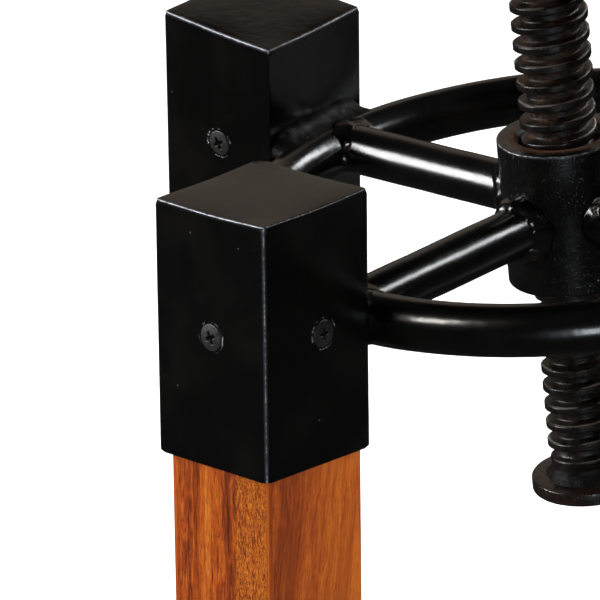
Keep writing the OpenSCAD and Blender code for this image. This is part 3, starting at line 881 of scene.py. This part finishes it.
def make_hub():
    rim, mouth_r = 0.35 * MM, 12.7 * MM
    verts, faces = lathe(hub_profile(0.4 * MM, rim, mouth_r, 1.4 * MM), 160)
    r = np.hypot(verts[:, 0], verts[:, 1])
    outside = smoothstep(HUB_R - 4 * MM, HUB_R - 1 * MM, r)
    rough = layered_noise(verts, (9, 0.12, 5), (2.2, 0.035, 6))
    verts = verts + radial(verts) * (np.minimum(rough, 0) * outside)[:, None]
    face_up = smoothstep(HUB_HIGH - 0.4 * MM, HUB_HIGH - 0.05 * MM, verts[:, 2])
    verts[:, 2] += dents(verts, 2.6 * MM, 7, 0.12 * MM) * face_up
    hub = new_piece("nut_hub_body", verts, faces, HUB_PAINT, "nut_hub")
    near = np.hypot(r - (HUB_R - rim * 0.4), verts[:, 2] - (HUB_HIGH - rim * 0.4))
    # Wear and painted highlight on the top rim: brightest on the front-left, the side turned to the lights
    facing = smoothstep(-0.2, 0.7, (-verts[:, 0] - verts[:, 1]) / HUB_R)
    store(hub, "wear_and_sheen", fade(near, 0.75 * MM) * (0.25 + 0.5 * facing))
    high = smoothstep(HUB_HIGH - 4 * MM, HUB_HIGH - 0.5 * MM, verts[:, 2])
    store(hub, "rust", smoothstep(3.4 * MM, 0.2 * MM, np.abs(r - mouth_r)) * high)


# ---------------------------------------------------------------- spindle
FLANK_ANGLE = math.radians(15)


def thread_faces(count, around, across):
    """Quads of a surface wound in a helix: strips of one pitch, sewn to the strip a turn above."""
    faces = []
    for k in range(count):
        for j in range(across):
            a, b = k * across + j, (k + 1) * across + j
            if j + 1 < across:
                faces.append((a, b, b + 1, a + 1))
            elif k + 1 + around <= count:
                faces.append((a, b, (k + 1 + around) * across, (k + around) * across))
    return faces


def cut_level(obj):
    """Cuts the thread off level at both of the spindle's ends and closes the cuts."""
    mesh = bmesh.new()
    mesh.from_mesh(obj.data)
    for height, up in ((SPINDLE_LOW, -1), (SPINDLE_HIGH, 1)):
        geometry = mesh.verts[:] + mesh.edges[:] + mesh.faces[:]
        bmesh.ops.bisect_plane(
            mesh, geom=geometry, plane_co=(0, 0, height), plane_no=(0, 0, up), clear_outer=True, dist=1e-6)
        rim = [e for e in mesh.edges if e.is_boundary and all(abs(v.co.z - height) < 1e-5 for v in e.verts)]
        bmesh.ops.edgeloop_fill(mesh, edges=rim)
    mesh.to_mesh(obj.data)
    mesh.free()


def make_spindle():
    """The thread as a surface r(angle, height): flat crest with rounded edges, straight flanks."""
    around, across = 72, 20
    share = np.arange(across) / across  # place in one pitch, from the middle of the crest
    axial = np.minimum(share, 1 - share) * PITCH
    flank_w = THREAD_DEPTH * math.tan(FLANK_ANGLE)
    fall = smoothstep(CREST_W / 2 - 0.28 * MM, CREST_W / 2 + flank_w + 0.20 * MM, axial)
    radius = CREST_R - THREAD_DEPTH * fall
    turns_low = math.floor((SPINDLE_LOW - RING_H) / PITCH) - 2
    turns_high = math.ceil((SPINDLE_HIGH - RING_H) / PITCH) + 2
    count = (turns_high - turns_low) * around
    step = np.arange(count + 1)
    angle = 2 * math.pi * step / around
    z = (RING_H + THREAD_PHASE + PITCH * (turns_low + step / around))[:, None] + share * PITCH
    x, y = np.outer(np.cos(angle), radius), np.outer(np.sin(angle), radius)
    verts = np.stack([x, y, z], -1).reshape(-1, 3)
    # The upper edge of each crest is made bright metal, partly rubbed wear and partly a painted highlight;
    # # share runs up from the crest's middle
    wear_and_sheen = np.tile(fade(np.abs(share * PITCH - CREST_W / 2), 0.34 * MM), count + 1)
    wear_and_sheen *= 0.55 + 0.6 * smoothstep(-0.5, 0.6, value_noise(verts, 6 * MM, 83))
    groove = np.tile(smoothstep(0.05, 0.75, fall), count + 1)
    nicks = layered_noise(verts, (3.1, 0.05, 81), (1.1, 0.025, 82))
    # Weld metal fills the lowest turns above the stop disc
    fill = smoothstep(STOP_HIGH + 9.5 * MM, STOP_HIGH + 4 * MM, verts[:, 2])
    flat = np.hypot(verts[:, 0], verts[:, 1])
    wanted = flat + (CREST_R - 0.7 * MM - flat) * fill * 0.92 + nicks
    verts[:, :2] *= (np.minimum(wanted, CREST_R) / flat)[:, None]
    faces = thread_faces(count, around, across)
    rod = new_piece("spindle_thread", verts, faces, THREAD, "spindle", "seat", "thread_steel")
    store(rod, "groove", groove * (1 - 0.7 * fill))
    store(rod, "rust", 0.25 + 0.75 * smoothstep(HUB_HIGH - 6 * MM, HUB_HIGH + 1 * MM, verts[:, 2]))
    store(rod, "wear_and_sheen", wear_and_sheen * (1 - fill))
    cut_level(rod)
    face_outward(rod)


# ---------------------------------------------------------------- welds
def fillet(corners, along_a, along_b, reach_a, reach_b, seed, closed=True, fullness=(0.26, 0.26),
           lumpy=1.0):
    """Points and faces of a weld: a section carried along the corner between two surfaces.
    along_a and along_b lead away from the seam over either surface. The two fullnesses are near
    0 for a hollow face and near 1 for one that bulges; lumpy makes its ripples larger."""
    share = np.linspace(0, 1, 13)[None, :, None]
    corner = np.array(corners)[:, None]
    unit_a, unit_b = np.array(along_a)[:, None], np.array(along_b)[:, None]
    to_a = unit_a * np.asarray(reach_a)[:, None, None]
    to_b = unit_b * np.asarray(reach_b)[:, None, None]
    bend = corner + to_a * fullness[0] + to_b * fullness[1]
    face = (1 - share) ** 2 * (corner + to_a) + 2 * share * (1 - share) * bend + share ** 2 * (corner + to_b)
    outward = unit_a + unit_b
    outward = outward / np.linalg.norm(outward, axis=2, keepdims=True)
    layers = (4.6, 0.40, seed), (1.9, 0.26, seed + 1), (1.0, 0.10, seed + 2)
    lumps = layered_noise(face.reshape(-1, 3), *layers)
    face = face + outward * lumps.reshape(face.shape[:2])[:, :, None] * lumpy
    # Both edges are sunk a little into the surfaces they lie on
    sunk = 0.35 * MM * (1 - np.sin(math.pi * share)) ** 2
    face = face - (unit_b * (1 - share) + unit_a * share) * sunk
    root = corner - (unit_a + unit_b) * 0.7 * MM
    rings = np.concatenate([face, root], axis=1)
    stations, count = rings.shape[:2]
    if closed:
        return rings.reshape(-1, 3), loop_faces(stations, count)
    last = (stations - 1) * count
    ends = [tuple(range(count)), tuple(range(last, last + count))]
    return rings.reshape(-1, 3), ring_faces(stations, count) + ends


def make_weld(name, node, body, fillets, material=WELD_PAINT):
    """One piece out of several fillets."""
    new_piece(name, *joined(fillets), material, node, body)


def on_hub(_x, y):
    """How far along a spoke the hub's side is, and its normal, at x and y in the spoke's frame."""
    depth = math.sqrt(HUB_R ** 2 - y ** 2)
    return depth, np.array((0, y, depth)) / HUB_R


def on_ring(x, _y):
    """How far along a spoke the ring's bar is, and its normal, at x and y in the spoke's frame."""
    depth = math.sqrt(RING_BAR_R ** 2 - x ** 2)
    return RING_R - depth, np.array((x, 0, -depth)) / RING_BAR_R


def spoke_fillet(i, surface, direction, reach_a, reach_b, seed, fullness, lumpy):
    """The fillet round spoke i where it meets a surface, which it leaves in the direction."""
    corners, along_a, along_b = [], [], []
    matrix = spoke_matrix(i)
    angles = turn_round(110)
    for away in circle(angles):
        x, y = SPOKE_R * away[:2]
        height, up = surface(x, y)
        corners.append(moved([(x, y, height)], matrix)[0])
        along_a.append(turned((0, 0, direction), matrix))
        along_b.append(turned(unit(away - up * (away @ up)), matrix))
    uneven = 1 + 0.10 * np.sin(2 * angles + 2.1 * i) + 0.06 * np.sin(5 * angles + 1.3 * i)
    uneven += 0.03 * np.sin(9 * angles)
    return fillet(
        corners, along_a, along_b, reach_a * uneven, reach_b * uneven, seed, fullness=fullness, lumpy=lumpy)


def make_spoke_welds():
    at_hub = [spoke_fillet(i, on_hub, 1, 5.2 * MM, 2.6 * MM, 111 + i, (0.85, 0.85), 1.4) for i in range(4)]
    make_weld("hub_weld_beads", "hub_welds", "stand", at_hub)
    at_ring = [spoke_fillet(i, on_ring, -1, 3.4 * MM, 2.8 * MM, 121 + i, (0.3, 0.3), 1.2) for i in range(4)]
    make_weld("ring_spoke_weld_beads", "ring_spoke_welds", "stand", at_ring)


def bar_fillets(r, z, bar_r, plane_x, half_length, reach, seed):
    """Over and under a ring's bar, the fillets that join it to the plane X = plane_x of each leg."""
    fillets = []
    for i in range(4):
        matrix = leg_matrix(i)
        angles = LEG_DIR[i] + np.linspace(-0.4, 0.4, 120)
        middle = moved(circle(angles) * r + (0, 0, z), matrix.inverted())
        for side, size in ((1, 1.0), (-1, 0.85)):
            corners, to_plane, to_bar = [], [], []
            for y in np.linspace(-half_length, half_length, 60):
                share = size * (1 - 0.7 * abs(y / half_length) ** 6)
                bar_x, bar_z = (np.interp(y, middle[:, 1], middle[:, k]) for k in (0, 2))
                turn = math.radians(45 + 55 * share)
                corner = np.array((plane_x, y, bar_z + side * bar_r * 0.5))
                on_bar = np.array((bar_x + bar_r * math.cos(turn), y, bar_z + side * bar_r * math.sin(turn)))
                corners.append(moved([corner], matrix)[0])
                to_plane.append(turned((0, 0, side * reach * share), matrix))
                to_bar.append(turned(on_bar - corner, matrix))
            reach_a, reach_b = (np.linalg.norm(to, axis=1) for to in (to_plane, to_bar))
            fillets.append(fillet(
                corners, to_plane / reach_a[:, None], to_bar / reach_b[:, None], reach_a, reach_b,
                seed + 2 * i + side, closed=False, fullness=(0.40, 0.04), lumpy=0.75))
    return fillets


def make_ring_welds():
    at_caps = bar_fillets(RING_R, RING_H, RING_BAR_R, -CAP_W / 2, 19.8 * MM, 8.8 * MM, 131)
    make_weld("ring_cap_weld_beads", "ring_cap_welds", "stand", at_caps, SOOTY_PAINT)
    at_tabs = bar_fillets(FOOT_RING_R, FOOT_RING_H, FOOT_BAR_R, TAB_X, 10 * MM, 6 * MM, 151)
    make_weld("foot_ring_weld_beads", "foot_ring_welds", "stand", at_tabs)


def round_fillet(r, z, up, rise, reach, seed, lumpy):
    """The fillet round an upright cylinder of radius r on a level face at height z."""
    angles = turn_round(140)
    outward = circle(angles)
    uneven = 1 + 0.08 * np.sin(3 * angles) + 0.06 * np.sin(7 * angles)
    upward = np.tile((0, 0, up), (len(angles), 1))
    return fillet(outward * r + (0, 0, z), upward, outward, rise * uneven, reach * uneven, seed, lumpy=lumpy)


def make_round_welds():
    on_disc = round_fillet(CREST_R - 1.2 * MM, STOP_HIGH, 1, 4.2 * MM, 2.6 * MM, 171, 0.45)
    make_weld("stop_disc_weld_bead", "stop_disc_weld", "stop_disc", [on_disc], SOOTY_PAINT)
    under_plate = round_fillet(COLLAR_R, PLATE_LOW, -1, 4.0 * MM, 4.0 * MM, 181, 1.0)
    make_weld("seat_plate_weld_bead", "seat_plate_weld", "seat", [under_plate])


# ---------------------------------------------------------------- stop disc, plate, collar, tabs
def make_turned(name, node, body, profile, seed, material):
    verts, faces = lathe(profile, 128)
    r = np.hypot(verts[:, 0], verts[:, 1])
    pushed_in = dents(verts, 7 * MM, seed, 0.14 * MM) * smoothstep(2 * MM, 6 * MM, r)
    return new_piece(name, verts + radial(verts) * pushed_in[:, None], faces, material, node, body)


def rounded_disc(r, low, high, edge):
    profile = [(0, low)] + spaced((0, low), (r - edge, low), 6)
    profile += arc(r - edge, low + edge, edge, -90, 0, 5)
    profile += arc(r - edge, high - edge, edge, 0, 90, 5)
    return profile + spaced((r - edge, high), (0, high), 6) + [(0, high)]


def make_stop_disc():
    profile = rounded_disc(STOP_R, STOP_LOW, STOP_HIGH, 0.5 * MM)
    disc = make_turned("stop_disc_plate", "stop_disc", "stop_disc", profile, 31, HUB_PAINT)
    store(disc, "rust", np.full(len(disc.data.vertices), 0.12))


def make_plate():
    profile = rounded_disc(PLATE_R, PLATE_LOW, PLATE_HIGH, 0.6 * MM)
    make_turned("seat_plate_disc", "seat_plate", "seat", profile, 32, BAR_PAINT)


def make_collar():
    edge, bore = 0.8 * MM, BORE_R - 0.15 * MM
    profile = [(bore, COLLAR_LOW + edge), (bore + edge, COLLAR_LOW)]
    profile += arc(COLLAR_R - edge, COLLAR_LOW + edge, edge, -90, 0, 5)
    profile += spaced((COLLAR_R, COLLAR_LOW + edge), (COLLAR_R, PLATE_LOW), 8)
    profile += [(COLLAR_R, PLATE_LOW), (bore, PLATE_LOW)]
    make_turned("seat_collar_tube", "seat_collar", "seat", profile, 33, HUB_PAINT)


def make_tab(i):
    name = "foot_tab_" + CORNERS[i]
    mesh = bmesh.new()
    bmesh.ops.create_cube(mesh, size=1, matrix=Matrix.Diagonal((TAB_T, TAB_W, TAB_H, 1)))
    bmesh.ops.bevel(mesh, geom=mesh.edges[:], offset=0.6 * MM, segments=3, profile=0.5, affect="EDGES")
    mesh.verts.index_update()
    verts = [v.co + Vector((TAB_X + TAB_T / 2, 0, -FOOT_RUN)) for v in mesh.verts]
    faces = [tuple(v.index for v in face.verts) for face in mesh.faces]
    mesh.free()
    new_piece(name + "_plate", moved(verts, leg_matrix(i)), faces, BAR_PAINT, name, smooth=False)


# ---------------------------------------------------------------- seat
TOP_EDGE = 8 * MM
BOTTOM_EDGE = 3 * MM
SEAM = 0.35 * MM
# How lively each board's grain is, and how light or dark the board
BOARD_CUT = (0.9, 0.35, 0.75, 0.5, 1.0)
BOARD_TONE = (0.1, -0.5, 0.4, -0.2, 0.6)


def seat_radius(z):
    """The seat's radius at a height, with its rounded top and eased bottom edges."""
    if z > SEAT_HIGH - TOP_EDGE:
        d = z - (SEAT_HIGH - TOP_EDGE)
        return SEAT_R - TOP_EDGE + math.sqrt(max(TOP_EDGE ** 2 - d ** 2, 0))
    if z < SEAT_LOW + BOTTOM_EDGE:
        d = SEAT_LOW + BOTTOM_EDGE - z
        return SEAT_R - BOTTOM_EDGE + math.sqrt(max(BOTTOM_EDGE ** 2 - d ** 2, 0))
    return SEAT_R


def seat_heights():
    """Heights up the seat's edge, closer together where it is rounded."""
    bottom = [SEAT_LOW + BOTTOM_EDGE - BOTTOM_EDGE * math.sin(a) for a in np.linspace(math.pi / 2, 0, 5)]
    side = list(np.linspace(SEAT_LOW + BOTTOM_EDGE, SEAT_HIGH - TOP_EDGE, 6)[1:-1])
    top = [SEAT_HIGH - TOP_EDGE + TOP_EDGE * math.sin(a) for a in np.linspace(0, math.pi / 2, 9)]
    return bottom + side + top


def end_bands(first, sides, across):
    """Faces over a section's end, in bands from one upright side of it to the other."""
    right = [first + j for j in range(sides)]
    top = [first + sides + j for j in range(across)]
    left = [first + 2 * sides + across - 1 - j for j in range(sides)]
    bottom = [first + 2 * sides + across + j for j in range(across)]
    faces = [(right[j], right[j + 1], left[j + 1], left[j]) for j in range(1, sides - 2)]
    faces.append((right[-2], right[-1], *top, left[-1], left[-2]))
    faces.append((left[1], left[0], *bottom, right[0], right[1]))
    return faces


def board_section(y, ease, heights, across):
    """The board's outline at y, all round. Its top and bottom are eased at a glued side."""
    inside = [math.copysign(min(abs(y), seat_radius(z) - 0.01 * MM), y) for z in heights]
    half = [math.sqrt(seat_radius(z) ** 2 - yy ** 2) for z, yy in zip(heights, inside)]
    section = list(zip(half, inside, heights))
    section += [(t * half[-1], inside[-1], heights[-1] - ease) for t in across[::-1]]
    section += [(-x, yy, z) for x, yy, z in section[:len(heights)][::-1]]
    section += [(t * half[0], inside[0], heights[0] + ease) for t in across]
    return section


def make_board(k):
    """One board of the seat: sections across it from one glued side to the other."""
    name = f"seat_board_{k + 1}"
    low_y, high_y = -SEAT_R + k * BOARD_W, -SEAT_R + (k + 1) * BOARD_W
    turns = [math.acos(max(-1, min(1, -y / SEAT_R))) for y in (low_y, high_y)]
    ys = -SEAT_R * np.cos(np.linspace(*turns, 40))
    ys = np.concatenate([[low_y, low_y + SEAM], ys[1:-1], [high_y - SEAM, high_y]])
    heights = seat_heights()
    across = np.linspace(-1, 1, 24)[1:-1]
    rings = []
    for y in np.sort(ys):
        to_seam = min(SEAM, y - low_y if k > 0 else SEAM, high_y - y if k < 4 else SEAM)
        rings.append(board_section(y, SEAM - to_seam, heights, across))
    count = len(rings[0])
    verts = np.concatenate(rings)
    faces = ring_faces(len(rings), count)
    faces += end_bands(0, len(heights), len(across))
    faces += end_bands((len(rings) - 1) * count, len(heights), len(across))
    board = new_piece(name + "_wood", verts, faces, SEAT_WOOD, name, "seat", "seat_wood")
    store(board, "grain", verts[:, (1, 2, 0)] + np.array((0.31, 0.17, 0.53)) * k)
    store(board, "cut", np.full(len(verts), BOARD_CUT[k]))
    band = np.abs(verts[:, 1] - low_y - (0.2 + 0.15 * k) * BOARD_W)
    store(board, "fleck", smoothstep(8 * MM, 3 * MM, band) * 0.5)
    store(board, "tone", np.full(len(verts), BOARD_TONE[k]))
    board.visible_glossy = False


# ---------------------------------------------------------------- stage
def white_material(name, glow):
    n = Nodes(name)
    n.shader.inputs["Base Color"].default_value = (0.9, 0.9, 0.9, 1)
    n.shader.inputs["Roughness"].default_value = 0.9
    n.shader.inputs["Emission Color"].default_value = (1, 1, 1, 1)
    n.shader.inputs["Emission Strength"].default_value = glow
    return n.material


def make_floor():
    """A white floor. The paint's reflections pass it by, as they would a floor far below."""
    reach, z = 14.0, -0.3 * MM  # just clear of the glides
    verts = [(sx * reach, sy * reach, z) for sx, sy in ((-1, -1), (1, -1), (1, 1), (-1, 1))]
    floor = new_object("floor", verts, [(0, 1, 2, 3)], white_material("floor_white", 0.8), smooth=False)
    floor.visible_glossy = False


def make_backdrop():
    """A white dome that only the camera sees, so that every side has the same background."""
    r = 13.9
    profile = [(r * math.cos(a), r * math.sin(a)) for a in np.linspace(0, math.pi / 2, 12)[:-1]]
    verts, faces = lathe([(r, -0.2), *profile, (0, r)], 48)
    dome = new_object("backdrop", verts, faces, white_material("backdrop_white", 1.0))
    dome.visible_glossy = False
    dome.visible_diffuse = False
    dome.visible_shadow = False


COOL = (0.95, 0.98, 1.0)


def make_light(name, azimuth, elevation, distance, size, radiance, colour=(1, 1, 1), on_wood=True,
               on_paint=True):
    """A soft box that looks at the hub, from an azimuth and an elevation in degrees. Its size is
    its width and height."""
    data = bpy.data.lights.new(name, "AREA")
    data.shape = "RECTANGLE"
    data.size, data.size_y = size
    data.energy = radiance * math.pi * size[0] * size[1]
    data.color = colour
    light = bpy.data.objects.new(name, data)
    direction = pointing(math.radians(azimuth), math.radians(elevation))
    light.location = Vector((0, 0, RING_H)) + direction * distance
    light.rotation_euler = (-direction).to_track_quat("-Z", "Y").to_euler()
    light.visible_diffuse = on_wood
    light.visible_glossy = on_paint
    light.visible_camera = False
    bpy.context.scene.collection.objects.link(light)


def make_lights():
    make_light("left_box", -87, 21.5, 2.2, (0.75, 0.95), 25)
    make_light("right_box", 83, 34, 2.2, (0.7, 0.38), 19, COOL, on_wood=False)
    make_light("back_right_box", 50, 33, 2.2, (0.95, 0.34), 17, COOL, on_wood=False)
    make_light("right_fill", 80, 36, 2.2, (0.8, 0.8), 22, COOL, on_paint=False)
    make_light("lamp", -123, 43.5, 2.2, (0.3, 0.55), 36, (1.0, 0.96, 0.9), on_wood=False)
    make_light("front_low", 175, 1, 2.2, (0.32, 0.8), 17, (0.86, 0.93, 1.0), on_wood=False)
    make_light("back_wall", 2, 19, 3.2, (3.2, 1.6), 0.31, (1.0, 0.81, 0.66))
    make_light("floor_glow", 72, -33, 0.85, (0.32, 0.32), 0.22, on_wood=False)


def make_world():
    world = bpy.data.worlds.new("studio")
    world.use_nodes = True
    world.node_tree.nodes["Background"].inputs["Color"].default_value = (1, 1, 1, 1)
    world.node_tree.nodes["Background"].inputs["Strength"].default_value = 0.03
    bpy.context.scene.world = world


def make_camera():
    """A long lens that looks a little down on the ring, turned slightly about its own axis."""
    aim = Vector((-0.077531, -0.01089, 0.502796))
    distance = 1.62433
    azimuth, elevation, roll = (math.radians(a) for a in (-2.5661, 22.6278, -6.0481))
    forward = pointing(azimuth, -elevation)
    level = forward.cross(Vector((0, 0, 1))).normalized()
    above = level.cross(forward)
    right = level * math.cos(roll) + above * math.sin(roll)
    up = above * math.cos(roll) - level * math.sin(roll)
    data = bpy.data.cameras.new("camera")
    data.lens = 342.699
    data.sensor_width = 36
    data.clip_end = 100
    camera = bpy.data.objects.new("camera", data)
    turn = Matrix((right, up, -forward)).transposed().to_4x4()
    camera.matrix_world = Matrix.Translation(aim - forward * distance) @ turn
    bpy.context.scene.collection.objects.link(camera)
    bpy.context.scene.camera = camera


# ---------------------------------------------------------------- build
make_camera()
make_world()
make_floor()
make_backdrop()
make_lights()
for leg_index in range(4):
    make_cap(leg_index)
    make_leg(leg_index)
    make_glide(leg_index)
    make_spoke(leg_index)
    make_tab(leg_index)
make_screws("cap_screw_heads", "cap_screws", "stand", cap_screw_places())
make_screws("tab_screw_heads", "foot_tab_screws", "stand", tab_screw_places())
make_screws("plate_screw_heads", "seat_screws", "seat", plate_screw_places())
make_ring("top_ring_bar", "top_ring", RING_R, RING_BAR_R, RING_H, -CAP_W / 2, 50)
make_ring("foot_ring_bar", "foot_ring", FOOT_RING_R, FOOT_BAR_R, FOOT_RING_H, TAB_X, 51)
make_hub()
make_spindle()
make_spoke_welds()
make_ring_welds()
make_round_welds()
make_stop_disc()
make_plate()
make_collar()
for board_index in range(5):
    make_board(board_index)

bpy.context.scene.view_settings.view_transform = "Standard"
